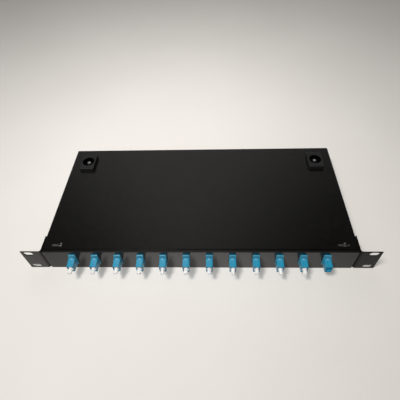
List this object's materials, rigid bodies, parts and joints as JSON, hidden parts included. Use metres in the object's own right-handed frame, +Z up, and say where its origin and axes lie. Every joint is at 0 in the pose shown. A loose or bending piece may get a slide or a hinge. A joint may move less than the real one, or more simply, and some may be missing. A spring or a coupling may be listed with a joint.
{
  "type": "fiber termination box",
  "caption": "Rack-mount fiber termination box: flat black steel chassis with a lift-off cover, side ears and a front row of capped adapters.",
  "frame": {"origin": "centre of the underside of the chassis tray", "axes": "+X to the viewer's right, +Y from the front panel to the rear wall, +Z up"},
  "size_m": [0.4826, 0.2287, 0.05],
  "materials": {
    "body_paint": "semi-gloss black powder coat",
    "panel_paint": "semi-gloss black powder coat",
    "zinc_steel": "bright zinc",
    "black_steel": "black oxide",
    "pad_rubber": "matt black",
    "adapter_blue": "satin blue",
    "cap_white": "translucent white",
    "tray_plastic": "matt off-white",
    "lid_plastic": "smoked clear",
    "comb_foam": "matt grey",
    "fibre_jacket": "satin, one standard fibre colour each"
  },
  "bodies": {
    "chassis": {"chassis_tray": "body_paint", "front_panel": "panel_paint", "splice_tray": "tray_plastic", "splice_tray_lid": "lid_plastic", "splice_comb": "comb_foam", "tray_screw": "zinc_steel", "cable_clamp": "tray_plastic", "ground_stud": "zinc_steel", "rack_ear_left": "panel_paint", "cable_grommet_left": "pad_rubber", "fibre_ring_left": "cap_white", "ear_screw_left_lower": "black_steel", "ear_screw_left_upper": "black_steel", "rack_ear_right": "panel_paint", "cable_grommet_right": "pad_rubber", "fibre_ring_right": "cap_white", "ear_screw_right_lower": "black_steel", "ear_screw_right_upper": "black_steel", "adapter_01": "adapter_blue", "pigtail_01": "fibre_jacket", "adapter_02": "adapter_blue", "pigtail_02": "fibre_jacket", "adapter_03": "adapter_blue", "pigtail_03": "fibre_jacket", "adapter_04": "adapter_blue", "pigtail_04": "fibre_jacket", "adapter_05": "adapter_blue", "pigtail_05": "fibre_jacket", "adapter_06": "adapter_blue", "pigtail_06": "fibre_jacket", "adapter_07": "adapter_blue", "pigtail_07": "fibre_jacket", "adapter_08": "adapter_blue", "pigtail_08": "fibre_jacket", "adapter_09": "adapter_blue", "pigtail_09": "fibre_jacket", "adapter_10": "adapter_blue", "pigtail_10": "fibre_jacket", "adapter_11": "adapter_blue", "pigtail_11": "fibre_jacket", "adapter_12": "adapter_blue", "pigtail_12": "fibre_jacket"},
    "cover": {"top_cover": "body_paint", "corner_pad_left": "pad_rubber", "corner_pad_right": "pad_rubber", "pad_screw_left": "zinc_steel", "pad_screw_right": "zinc_steel", "cover_screw_left": "black_steel", "cover_screw_right": "black_steel"},
    "dust_cap_01": {"dust_cap_01": "cap_white"},
    "dust_cap_02": {"dust_cap_02": "cap_white"},
    "dust_cap_03": {"dust_cap_03": "cap_white"},
    "dust_cap_04": {"dust_cap_04": "cap_white"},
    "dust_cap_05": {"dust_cap_05": "cap_white"},
    "dust_cap_06": {"dust_cap_06": "cap_white"},
    "dust_cap_07": {"dust_cap_07": "cap_white"},
    "dust_cap_08": {"dust_cap_08": "cap_white"},
    "dust_cap_09": {"dust_cap_09": "cap_white"},
    "dust_cap_10": {"dust_cap_10": "cap_white"},
    "dust_cap_11": {"dust_cap_11": "cap_white"}
  },
  "joints": [
    {"name": "cover_lift", "type": "slide", "parent": "chassis", "child": "cover", "axis": [0, 0, 1], "range_m": [0, 0.07]},
    {"name": "dust_cap_01_pull", "type": "slide", "parent": "chassis", "child": "dust_cap_01", "axis": [0, -1, 0], "range_m": [0, 0.03]},
    {"name": "dust_cap_02_pull", "type": "slide", "parent": "chassis", "child": "dust_cap_02", "axis": [0, -1, 0], "range_m": [0, 0.03]},
    {"name": "dust_cap_03_pull", "type": "slide", "parent": "chassis", "child": "dust_cap_03", "axis": [0, -1, 0], "range_m": [0, 0.03]},
    {"name": "dust_cap_04_pull", "type": "slide", "parent": "chassis", "child": "dust_cap_04", "axis": [0, -1, 0], "range_m": [0, 0.03]},
    {"name": "dust_cap_05_pull", "type": "slide", "parent": "chassis", "child": "dust_cap_05", "axis": [0, -1, 0], "range_m": [0, 0.03]},
    {"name": "dust_cap_06_pull", "type": "slide", "parent": "chassis", "child": "dust_cap_06", "axis": [0, -1, 0], "range_m": [0, 0.03]},
    {"name": "dust_cap_07_pull", "type": "slide", "parent": "chassis", "child": "dust_cap_07", "axis": [0, -1, 0], "range_m": [0, 0.03]},
    {"name": "dust_cap_08_pull", "type": "slide", "parent": "chassis", "child": "dust_cap_08", "axis": [0, -1, 0], "range_m": [0, 0.03]},
    {"name": "dust_cap_09_pull", "type": "slide", "parent": "chassis", "child": "dust_cap_09", "axis": [0, -1, 0], "range_m": [0, 0.03]},
    {"name": "dust_cap_10_pull", "type": "slide", "parent": "chassis", "child": "dust_cap_10", "axis": [0, -1, 0], "range_m": [0, 0.03]},
    {"name": "dust_cap_11_pull", "type": "slide", "parent": "chassis", "child": "dust_cap_11", "axis": [0, -1, 0], "range_m": [0, 0.03]}
  ]
}
